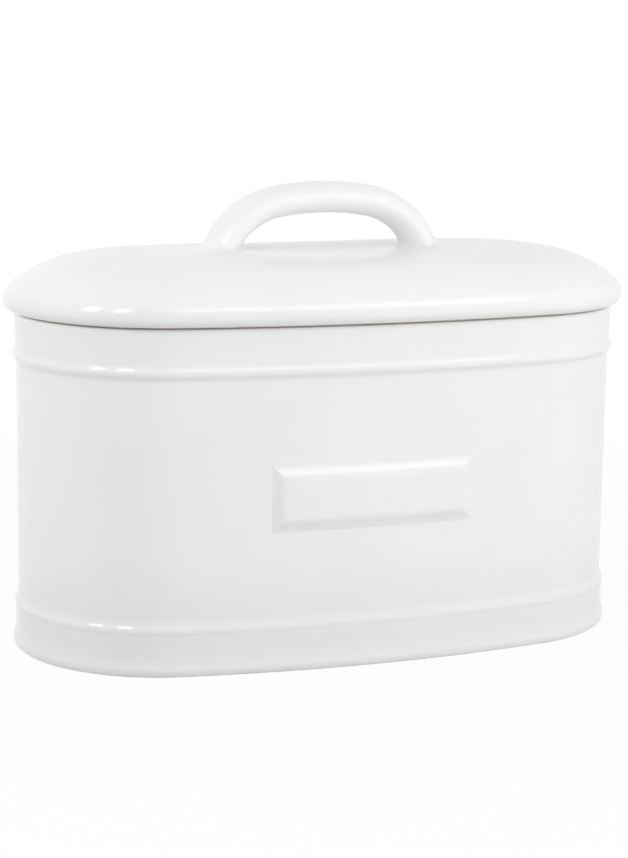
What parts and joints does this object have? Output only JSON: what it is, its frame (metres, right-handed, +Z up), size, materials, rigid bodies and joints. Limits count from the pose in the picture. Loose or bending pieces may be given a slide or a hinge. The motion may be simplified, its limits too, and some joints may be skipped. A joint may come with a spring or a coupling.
{
  "type": "bread box",
  "caption": "Oval glazed stoneware bread box with beaded bands, a bare raised label plaque on the front and a domed lift-off lid carried by a loop handle.",
  "frame": {"origin": "on the ground plane under the middle of the oval foot", "axes": "+X along the length, +Y to the back (the label plaque faces -Y), +Z up"},
  "size_m": [0.3586, 0.1876, 0.2541],
  "materials": {
    "white_glaze": "gloss white glaze on stoneware, unglazed on the foot ring"
  },
  "bodies": {
    "crock": {"crock_body": "white_glaze", "label_plaque": "white_glaze"},
    "lid": {"lid": "white_glaze", "lid_handle": "white_glaze"}
  },
  "joints": [
    {"name": "lid_lift", "type": "slide", "parent": "crock", "child": "lid", "axis": [0, 0, 1], "range_m": [0, 0.25]}
  ]
}
